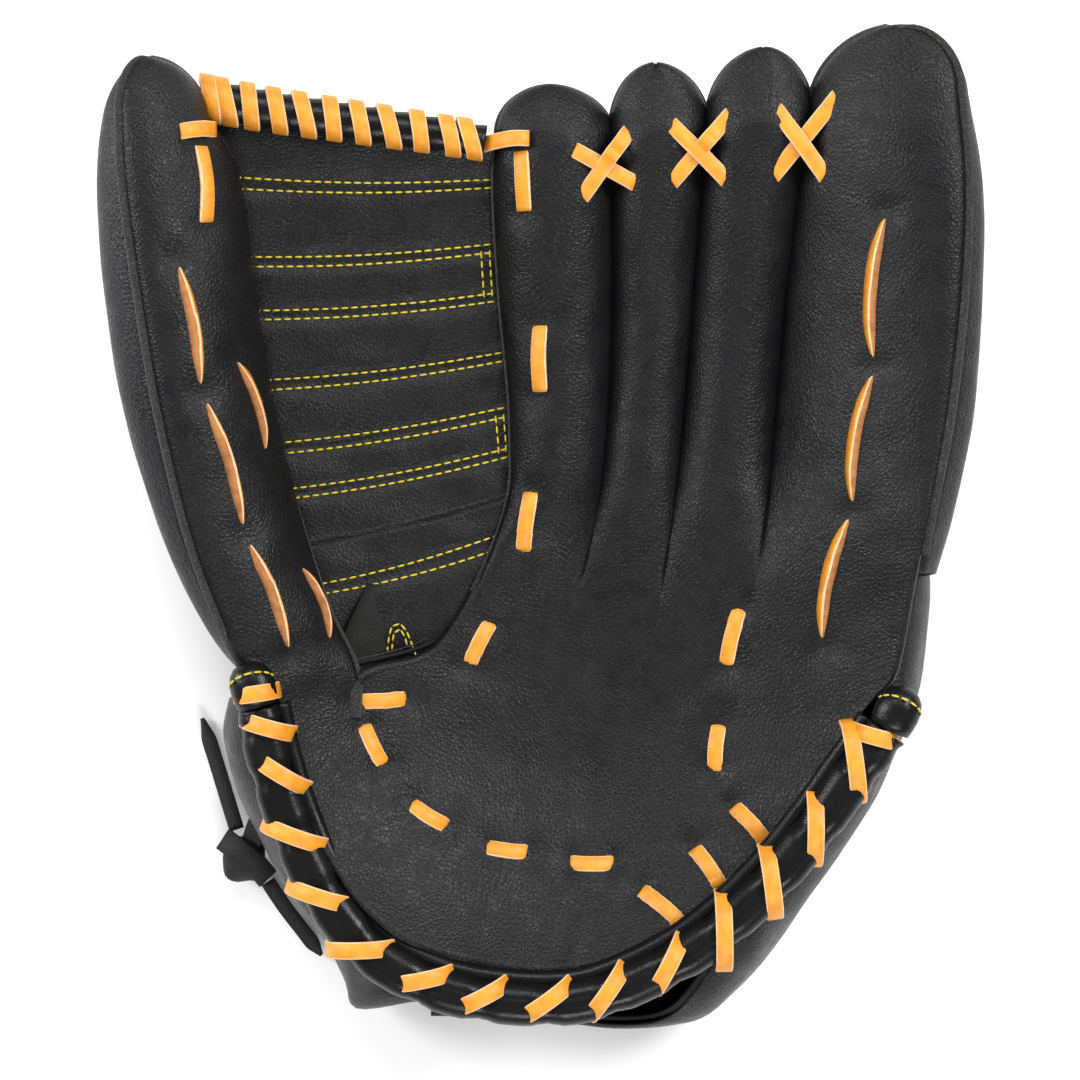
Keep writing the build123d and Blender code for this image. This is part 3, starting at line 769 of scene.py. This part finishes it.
def make_web():
    rows, columns = 170, 56
    vertices = [web_place(c / (columns - 1), r / (rows - 1)) for r in range(rows) for c in range(columns)]
    panel = add_object("web_panel", vertices, grid_faces(rows, columns), [LEATHER])
    if panel.data.polygons[0].normal.z < 0:
        panel.data.flip_normals()
    thicken(panel, 3.6)
    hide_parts("web_front_panel", "web_back_panel")
    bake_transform(panel)
    threads = Batch()
    for row in STITCHED_ROWS:
        reach = 0.975 if row not in (2, 6, 9) else 0.985
        pair = 0.075 if row > 5 else 0.1
        for shift in (-pair, pair):
            stitch_line(threads, web_line(row, shift, 0.05, reach - 0.05))
    for low, high in ((4, 5), (7, 8)):
        for u in (0.885, 0.915):
            stitch_line(threads, [web_place(u, (low + (high - low) * i / 8) / WEB_LAST, 0.15)
                                  for i in range(9)])
    arch = [(-48, -36), (-47.2, -29.5), (-46.3, -26.6), (-44, -26), (-42, -28), (-40, -33), (-38.6, -37)]
    for inset in (0.0, 1.7):
        points = []
        for x, y in arch:
            toward = Vector((-43.5 - x, -33.5 - y, 0)).normalized() * inset
            points.append(web_surface(x + toward.x, y + toward.y))
        stitch_line(threads, points)
    thread = threads.make("web_stitching", [THREAD])
    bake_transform(thread)


def web_surface(x, y):
    """The web's surface under (x, y), found among its own rows."""
    best, found = 1e9, None
    for i in range(40):
        for j in range(14):
            place = web_place(j / 13, i / 39 * 0.3)
            gap = (place.x - x) ** 2 + (place.y - y) ** 2
            if gap < best:
                best, found = gap, place
    return Vector((x, y, found.z + 0.4))


make_web()

WEB_ROLL = [(-105, 136.5, 63), (-84, 133, 60), (-62, 130, 58), (-40, 127, 56.5), (-17, 123.5, 56)]
WEB_TURNS = [-101.5, -96.5, -88.8, -80.3, -71.9, -63.4, -54.8, -45.7, -36.6, -27.6, -21.7]


def make_web_roll():
    steps = 60
    path = spline_path(WEB_ROLL, steps)

    def section(place):
        x = spline(WEB_ROLL, place)[0]
        pinch = min(1.0, min(abs(x - t) for t in WEB_TURNS) / 3.4)
        radius = (6.3 - 1.3 * place) * (0.9 + 0.1 * pinch)
        return oval(radius, radius * 0.92, 20)

    roll = swept("web_roll_leather", path, section, BINDING)
    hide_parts("web_top_roll")
    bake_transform(roll)
    turns = Batch()
    axis = (Vector(WEB_ROLL[-1]) - Vector(WEB_ROLL[0])).normalized()
    for number, x in enumerate(WEB_TURNS):
        place = (x - WEB_ROLL[0][0]) / (WEB_ROLL[-1][0] - WEB_ROLL[0][0])
        centre = Vector(spline(WEB_ROLL, place))
        radius = 6.3 - 1.3 * place + 0.55
        side = axis.cross(Vector((0, 0, 1))).normalized()
        up = side.cross(axis)
        slant = 2.2 + 0.5 * math.sin(number * 2.1)
        path = []
        for i in range(29):
            a = math.tau * i / 28 * 0.995 - math.pi / 2
            spot = centre + side * (radius * math.cos(a)) + up * (radius * math.sin(a))
            path.append(spot + axis * (slant * math.cos(a)))
        turns.add(*lace(path, [axis] * len(path)))
    wound = turns.make("web_roll_lace", LACE_MATERIALS)
    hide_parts("web_top_lace")
    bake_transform(wound)


make_web_roll()


def make_palm_rim():
    """The turned edge of the palm along the web, from the pocket to the index tip."""
    path = []
    for i in range(120):
        v = (2.02 + (8.4 - 2.02) * i / 119) / KNOTS
        path.append(boundary(INDEX_LEFT, v) + Vector((0.4, 0, 0.2)))
    section = oval(1.9, 1.5, 10)
    rim = swept("palm_rim_leather", path, section, LEATHER)
    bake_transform(rim)


make_palm_rim()

# ---------------- heel roll, its wraps and the end caps
ROLL_LINE = [(-86.5, -51.5, 69.5), (-83, -68, 68), (-76.5, -88, 67), (-67, -108, 67), (-52, -126.5, 67.5),
             (-32, -137.5, 68), (-10, -141.8, 68), (12, -141.5, 68), (32, -134.5, 67.5), (52, -122.5, 67),
             (70, -106, 67), (85, -88, 67.5), (97, -71, 68.5), (106, -58.5, 70)]


def nearest_on_roll(x, y):
    best = min(range(401), key=lambda i: (spline(ROLL_LINE, i / 400)[0] - x) ** 2
               + (spline(ROLL_LINE, i / 400)[1] - y) ** 2)
    return best / 400


WRAP_PLACES = [nearest_on_roll((a[0] + b[0]) / 2, (a[1] + b[1]) / 2) for a, b in HEEL_WRAPS]


def make_heel_roll():
    steps = 260
    path = spline_path(ROLL_LINE, steps)

    def section(place):
        near = min(abs(place - w) for w in WRAP_PLACES)
        pinch = 0.86 + 0.14 * smoothstep(near / 0.021)
        pucker = 1 + 0.02 * math.sin(place * 620) * (1 - smoothstep(near / 0.03))
        ring = []
        for i in range(28):
            a = math.tau * i / 28
            groove = 1 - 0.2 * math.exp(-(math.cos(a) / 0.2) ** 2)
            ring.append((7.0 * math.cos(a) * pinch * pucker, 5.7 * math.sin(a) * groove * pinch))
        return ring

    roll = swept("heel_roll_leather", path, section, BINDING)
    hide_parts("heel_roll", "thumb_heel_roll")
    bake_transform(roll)


def make_inner_piping():
    """A thinner cord of leather inside the roll."""
    steps = 220
    path = []
    for i in range(steps + 1):
        here = Vector(spline(ROLL_LINE, i / steps))
        after = Vector(spline(ROLL_LINE, min(1, i / steps + 0.01)))
        ahead = after - Vector(spline(ROLL_LINE, max(0, i / steps - 0.01)))
        inward = Vector((-ahead.y, ahead.x, 0)).normalized()
        path.append(here + inward * 7.2 - Vector((0, 0, 2.6)))
    section = oval(2.9, 2.6, 12)
    piping = swept("heel_inner_piping", path, section, BINDING)
    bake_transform(piping)


def wrap_path(inner, outer):
    """Over the roll from a hole at one side to the other side, ends tucked under."""
    start, end = Vector((*inner, 0)), Vector((*outer, 0))
    path = []
    samples = 20
    for i in range(samples + 1):
        t = i / samples
        spread = -math.cos(math.pi * t)
        place = start.lerp(end, 0.5 + 0.5 * spread * 0.98)
        crown = abs(math.sin(math.pi * t)) ** 0.75
        centre = spline(ROLL_LINE, nearest_on_roll(place.x, place.y))
        place.z = centre[2] - 7.5 + crown * 14.3
        path.append(place)
    return path


def lace_group(name, batch, nodes, body):
    obj = batch.make(name, LACE_MATERIALS)
    if nodes:
        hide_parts(*nodes)
    if body == "fold":
        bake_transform(obj)
    else:
        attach(obj, body)


def make_heel_lace():
    wraps = Batch()
    for inner, outer in HEEL_WRAPS:
        path = wrap_path(inner, outer)
        run = (Vector((*outer, 0)) - Vector((*inner, 0))).normalized()
        wraps.add(*lace(path, [Vector((run.y, -run.x, 0))] * len(path), 5.2))
    lace_group("heel_lace_wraps", wraps, ["heel_lace", "thumb_heel_lace"], "fold")


def make_cap(name, centre, toward, body, node):
    """A short glossy cap, domed at its free end, with an arc of stitches."""
    toward = Vector(toward).normalized()
    path = [Vector(centre) + toward * t for t in (-6.5, -4, -1, 2, 4.5, 6.3, 7.2, 7.6)]
    sizes = [0.93, 1.0, 1.04, 1.0, 0.86, 0.62, 0.34, 0.06]

    def section(place):
        size = sizes[min(int(place * 7 + 0.5), 7)] * 6.9
        return oval(size, size * 0.84, 20)

    cap = swept(name, path, section, BINDING)
    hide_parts(node)
    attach(cap, body)
    threads = Batch()
    side = toward.cross(Vector((0, 0, 1))).normalized()
    up = Vector((0, 0, 1))
    arc = []
    for a in [math.pi * i / 12 for i in range(13)]:
        spot = Vector(centre) + toward * (1.0 + 3.0 * math.sin(a)) + side * (7.1 * math.cos(a))
        arc.append(spot + up * (6.2 * abs(math.sin(a)) ** 0.8))
    stitch_line(threads, arc)
    thread = threads.make(f"{name}_stitches", [THREAD])
    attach(thread, body)


make_heel_roll()
make_inner_piping()
make_heel_lace()
make_cap("thumb_heel_end", (-88, -44.5, 70.5), (-0.28, 1, 0.12), "thumb_side", "thumb_heel_cap")
make_cap("pinky_heel_end", (109.5, -52, 71.5), (0.45, 1, 0.12), "palm", "pinky_heel_cap")


# ---------------- laces on the faces
FACE_LACE_DIVE = 3.4


def lace_route(start, end, bow, lift, dive):
    """Places and normals of a lace that comes up out of one hole and goes down into the next."""
    a, b = Vector((*start, 0)), Vector((*end, 0))
    run = (b - a).normalized()
    side = Vector((run.y, -run.x, 0))
    path, across = [], []
    samples = 22
    for i in range(samples + 1):
        t = i / samples
        spot = a.lerp(b, t) + side * (bow * math.sin(math.pi * t))
        surface, normal = on_front(spot.x, spot.y)
        rise = lift + 0.7 * math.sin(math.pi * t)
        tuck = dive * ((1 - smoothstep(t / 0.1)) + (1 - smoothstep((1 - t) / 0.1)))
        path.append(surface + normal * (rise - tuck))
        across.append(run.cross(normal).normalized())
    return path, across


def face_lace(start, end, bow=0.0, lift=1.0):
    return lace(*lace_route(start, end, bow, lift, FACE_LACE_DIVE))


def loop_lace(points):
    """A short lace across the end of the web roll."""
    path = spline_path(points, 12)
    return lace(path, [Vector((0, -1, 0))] * 13)


def edge_lace(start, end, bow, left, right, left_face, right_face):
    """A running lace that stands on edge; left and right are seen along its run."""
    path, across = lace_route(start, end, bow, 1.4, 3.6)
    vertices, faces, indices = ridge_lace(path, across, left, right, left_face, right_face)
    narrowed = []
    for number, vertex in enumerate(vertices):
        row = number // 4
        t = row / (len(path) - 1)
        slim = 0.3 + 0.7 * smoothstep(min(t, 1 - t) / 0.28)
        narrowed.append(path[row] + (Vector(vertex) - path[row]) * slim)
    return narrowed, faces, indices


def make_holes():
    """Dark capped disks just past the ends of the laces, painted shade standing in for the shaded insides of
    the punched holes.
    """
    batch = Batch()
    pairs = POCKET_LACES + THUMB_LACES + HEEL_STITCHES + INDEX_LOOP + THUMB_LOOP
    for start, end in pairs:
        a, b = Vector((*start, 0)), Vector((*end, 0))
        run = (b - a).normalized()
        for spot in (a - run * 0.9, b + run * 0.9):
            centre, normal = on_front(spot.x, spot.y, 0.1)
            side = normal.cross(Vector((0, 1, 0))).normalized()
            up = side.cross(normal)
            ring = [centre + side * (2.1 * math.cos(k)) + up * (2.1 * math.sin(k)) for k in
                    [math.tau * i / 12 for i in range(12)]]
            deep = [p - normal * 1.2 for p in ring]
            faces = [tuple(range(12)), tuple(range(23, 11, -1))]
            faces += [(i, i + 12, (i + 1) % 12 + 12, (i + 1) % 12) for i in range(12)]
            batch.add(ring + deep, faces, [0] * 14)
    # the disks carry painted shade in place of open holes
    holes = batch.make("punched_hole_shade_disks", [HOLE_SHADE], False)
    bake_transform(holes)


def make_face_laces():
    pocket = Batch()
    for start, end in POCKET_LACES:
        pocket.add(*face_lace(start, end, bow=0.5))
    lace_group("pocket_laces", pocket, ["pocket_lace", "thumb_pocket_lace"], "fold")
    heel = Batch()
    for start, end in HEEL_STITCHES:
        heel.add(*face_lace(start, end, bow=-0.6, lift=1.3))
    lace_group("heel_stitches", heel, ["heel_stitch_lace"], "palm")
    thumb = Batch()
    for start, end in THUMB_RUNNERS:
        thumb.add(*edge_lace(start, end, -1.9, 2.3, 3.1, 0, 2))
    thumb.add(*loop_lace([(-111, 123, 83), (-107.5, 124, 84), (-102.5, 125, 80), (-99.5, 125.5, 72)]))
    thumb.add(*face_lace(*THUMB_LOOP[0], bow=-1.0, lift=1.3))
    lace_group("thumb_laces", thumb, ["thumb_lace"], "thumb_side")
    side = Batch()
    for start, end in THUMB_LACES:
        side.add(*edge_lace(start, end, -1.6, 4.8, 1.6, 0, 2))
    lace_group("thumb_web_laces", side, ["web_side_lace"], "thumb_side")
    pinky = Batch()
    for start, end in PINKY_RUNNERS:
        pinky.add(*edge_lace(start, end, 2.2, 1.9, 4.4, 2, 0))
    lace_group("pinky_laces", pinky, ["pinky_lace"], "palm")
    index = Batch()
    index.add(*loop_lace([(-17.5, 122.5, 55), (-13.5, 123, 61.5), (-8, 123.5, 66), (-3.5, 123.5, 65)]))
    index.add(*face_lace(*INDEX_LOOP[0], lift=1.2))
    lace_group("index_loop", index, ["index_lace"], "palm")


CROSSED = {  # first lace, then the one over it
    "index_middle": (((9, 121), (30.5, 109.5)), ((28.5, 127.5), (12, 104.5))),
    "middle_ring": (((60, 132.5), (39.5, 109)), ((38.8, 129.5), (58.5, 110))),
    "ring_pinky": (((92.5, 137.5), (70.5, 110.5)), ((71, 134), (88.5, 110.5))),
}


def make_crossed(name):
    """Two laces crossed over the gap between two fingers, straight from crown to crown."""
    batch = Batch()
    for layer, (start, end) in enumerate(CROSSED[name]):
        a, _ = on_front(*start)
        b, _ = on_front(*end)
        run = (b - a).normalized()
        spots = [a.lerp(b, i / 24) for i in range(25)]
        heights = [max(spot.z, min(on_front(spot.x, spot.y)[0].z, spot.z + 4)) for spot in spots]
        for _ in range(6):
            heights = [max((heights[max(i - 1, 0)] + heights[i] + heights[min(i + 1, 24)]) / 3, heights[i])
                       for i in range(25)]
        path = []
        for i, spot in enumerate(spots):
            t = i / 24
            tuck = 3.4 * ((1 - smoothstep(t / 0.1)) + (1 - smoothstep((1 - t) / 0.1)))
            over = 1.6 * layer * math.exp(-((t - 0.5) / 0.22) ** 2)
            path.append(Vector((spot.x, spot.y, heights[i] + 1.0 + over - tuck)))
        across = [run.cross(Vector((0, 0, 1))).normalized()] * 25
        batch.add(*lace(path, across))
    lace_group(f"{name}_cross", batch, [f"{name}_lace"], "palm")


def make_bar_tacks():
    """Short stitches in the valleys between the fingers."""
    threads = Batch()
    for x, low, high in ((23.3, 93, 96.4), (50.6, 93.6, 97.4)):
        for shift in (0.0, 0.7):
            line = [on_front(x + shift, low + (high - low) * i / 4, 0.3)[0] for i in range(5)]
            stitch_line(threads, line)
    tacks = threads.make("valley_bar_tacks", [THREAD])
    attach(tacks, "palm")


make_bar_tacks()
make_holes()
make_face_laces()
for pair in CROSSED:
    make_crossed(pair)

# ---------------- back of the hand, its lining and the wrist
BACK_CENTRE = (8, -50, 0.9)
# Round the hand, each entry has the rim where the wall is sewn on and the belly of the wall below it.
BACK_WALL = [
    ((-84, -42, 62), (-97, -50, 36)), ((-86, -56, 64), (-99, -62, 34)), ((-83, -72, 63), (-94.5, -79, 32)),
    ((-76, -90, 62), (-88, -93, 30)), ((-67, -108, 61), (-79, -109, 28)),
    ((-58, -122, 60), (-68.5, -125, 26)),
    ((-54, -131, 52), (-61.5, -138, 24)), ((-50, -138, 34), (-58, -149, 17)),
    ((-34, -142.5, 24), (-38, -147, 12)),
    ((-12, -146.5, 21), (-12, -150, 11)), ((4, -151, 20), (4, -153, 10)), ((24, -154, 20), (26, -155.5, 10)),
    ((40, -151, 28), (43, -154, 14)), ((49, -140, 46), (55, -149, 20)), ((58, -124, 60), (68, -135, 26)),
    ((71, -108, 62), (80, -118, 28)), ((85, -90, 62), (92, -101, 30)), ((97, -72, 63), (104, -82, 32)),
    ((104, -58, 64), (113, -63, 34)), ((108, -42, 62), (119, -42, 38)), ((110, -15, 60), (121.5, -15, 38)),
    ((111, 8, 56), (120, 10, 34)), ((106, 32, 36), (112, 36, 20)), ((92, 46, 22), (98, 51, 10)),
    ((64, 49, 14), (66, 53, 6)), ((32, 48, 11), (32, 51, 5)), ((4, 44, 12), (2, 47, 5)),
    ((-6, 22, 24), (-10, 22, 10)),
    ((-12, -6, 34), (-18, -6, 15)), ((-33, -30, 40), (-38, -29, 18)), ((-60, -38, 48), (-66, -40, 24)),
]


def back_shell(name, inset, lift, material, nodes):
    """A dish: flat on the table, bellied round the hand, its rim drawn in under the heel roll."""
    around, rings = 156, 40
    centre = Vector(BACK_CENTRE)
    centre.z += lift
    rims = [entry[0] for entry in BACK_WALL] + [BACK_WALL[0][0]]
    bellies = [entry[1] for entry in BACK_WALL] + [BACK_WALL[0][1]]
    vertices = []
    for r in range(rings):
        u = r / (rings - 1)
        for c in range(around):
            rim = Vector(spline(rims, c / around))
            belly = Vector(spline(bellies, c / around))
            foot = Vector((belly.x, belly.y, centre.z))
            foot = foot.lerp(centre, 0.12)
            if u < 0.4:
                spot = centre.lerp(foot, u / 0.4)
            elif u < 0.7:
                a = (u - 0.4) / 0.3 * math.pi / 2
                spot = foot + Vector(((belly.x - foot.x) * math.sin(a), (belly.y - foot.y) * math.sin(a),
                                      (belly.z - foot.z) * (1 - math.cos(a))))
            else:
                a = (u - 0.7) / 0.3 * math.pi / 2
                drawn, risen = 1 - math.cos(a), math.sin(a)
                spot = belly + Vector(((rim.x - belly.x) * drawn, (rim.y - belly.y) * drawn,
                                       (rim.z - belly.z) * risen))
            wall = smoothstep((u - 0.45) / 0.15) * (1 - smoothstep((u - 0.9) / 0.1))
            spot.x += 0.9 * noise.noise(spot * 0.055) * wall
            spot.y += 0.9 * noise.noise(spot * 0.055 + Vector((9, 4, 1))) * wall
            inward = Vector((centre.x - spot.x, centre.y - spot.y, 0))
            if inward.length > 1:
                spot += inward.normalized() * (inset * min(1, inward.length / 20))
            spot.z = min(max(spot.z, 0.75 + lift), 66)
            spot.y = max(spot.y, -156.5)
            vertices.append(spot)
    shell = weld(add_object(name, vertices, grid_faces(rings, around, 0, True), [material]), 0.00005)
    thicken(shell, 1.4, 0)
    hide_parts(*nodes)
    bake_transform(shell)


back_shell("back_hand_leather", 0.0, 0.0, BACK_LEATHER, ["back_leather", "thumb_back_leather"])
back_shell("back_hand_lining", 2.4, 1.6, LINING, ["back_lining", "thumb_back_lining"])


def make_palm_lining():
    """The lining under the palm, the roof of the hand's space."""
    rows, columns = 40, 40
    vertices = []
    for r in range(rows):
        v = r / (rows - 1)
        for c in range(columns):
            u = c / (columns - 1)
            x = (-78 + 24 * v) * (1 - u) + (92 + 22 * v) * u
            y = -52 + (-74 + 66 * v) * math.sin(math.pi * (0.06 + 0.88 * u)) + 40 * v
            drop = 8.5 - 2.5 * (1 - v)
            vertices.append(Vector((x, y, bowl_height(x, y) - drop)))
    lining = add_object("palm_lining_leather", vertices, grid_faces(rows, columns), [LINING])
    thicken(lining, 1.2, 0)
    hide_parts("palm_lining", "thumb_palm_lining")
    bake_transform(lining)


make_palm_lining()


# ---------------- strap, tab and knot
def soft_slab(name, low, high, material, node, body, slot_name, crown):
    """A thin pad with rounded edges over a box, a little crowned."""
    lo, hi = Vector(low) / MM, Vector(high) / MM
    columns, rows = 34, 18
    vertices = []
    for side in (1, -1):
        for r in range(rows):
            for c in range(columns):
                u, v = c / (columns - 1) * 2 - 1, r / (rows - 1) * 2 - 1
                round_u = math.copysign(1 - (1 - abs(u)) ** 1.4, u)
                round_v = math.copysign(1 - (1 - abs(v)) ** 1.4, v)
                edge = (1 - abs(u) ** 10) * (1 - abs(v) ** 8)
                x = (lo.x + hi.x) / 2 + round_u * (hi.x - lo.x) / 2
                y = (lo.y + hi.y) / 2 + round_v * (hi.y - lo.y) / 2
                z = (lo.z + hi.z) / 2 + side * (hi.z - lo.z) / 2 * edge ** 0.4
                z += crown * (1 - u * u) * (1 - v * v) * (1 if side > 0 else 0)
                vertices.append(Vector((x, y, z)))
    faces = grid_faces(rows, columns)
    faces += [tuple(reversed(face)) for face in grid_faces(rows, columns, rows * columns)]
    slab = weld(add_object(name, vertices, faces, [material]), 0.00003)
    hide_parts(node)
    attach(slab, body)


soft_slab("strap_leather", *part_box("wrist_strap"), BACK_LEATHER, "wrist_strap", "wrist_strap", "leather", 0.4)
soft_slab("strap_fleece", *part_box("wrist_strap_lining"), FLEECE, "wrist_strap_lining", "wrist_strap",
          "fleece", 0.8)
soft_slab("tab_leather", *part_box("strap_tab"), BACK_LEATHER, "strap_tab", "thumb_side", "leather", 0.4)


def make_knot():
    """A flat black lace knot, creased where its turns cross, and the stub that goes into the back."""
    centre = Vector((-95.0, -102.5, 8.5))
    columns, rows = 30, 18
    vertices = []
    for r in range(rows):
        tall = math.pi * (r / (rows - 1) - 0.5)
        for c in range(columns):
            turn = math.tau * c / columns
            x = math.copysign(abs(math.cos(turn)) ** 0.55, math.cos(turn)) * abs(math.cos(tall)) ** 0.6
            y = math.copysign(abs(math.sin(turn)) ** 0.55, math.sin(turn)) * abs(math.cos(tall)) ** 0.6
            crease = 1 - 0.1 * math.exp(-((x * 0.8 + y * 0.6 - 0.1) / 0.12) ** 2)
            crease -= 0.08 * math.exp(-((x * 0.5 - y * 0.85 + 0.3) / 0.1) ** 2)
            spot = Vector((x * 6.9, y * 7.2, math.sin(tall) * 5.2)) * crease
            vertices.append(centre + spot * (1 + 0.07 * noise.noise(spot * 0.25)))
    batch = Batch()
    faces = grid_faces(rows, columns, 0, True)
    batch.add(vertices, faces, [0] * len(faces))
    band = [(-101.5, -96, 11), (-97, -99, 14), (-91, -104, 14), (-87.6, -108.5, 10)]
    stub = [(-93, -98, 11), (-90, -90, 14), (-86.5, -85, 18), (-82, -80, 24)]
    for points, side, wide in ((band, (0.55, 0.8, 0.0), 7.5), (stub, (0.75, -0.4, 0.2), 6.5)):
        batch.add(*lace(spline_path(points, 14), [Vector(side)] * 15, wide, 1.8))
    batch.indices = [0] * len(batch.indices)
    knot = batch.make("lace_knot", [TIE])
    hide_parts("strap_knot")
    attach(knot, "thumb_side")


make_knot()
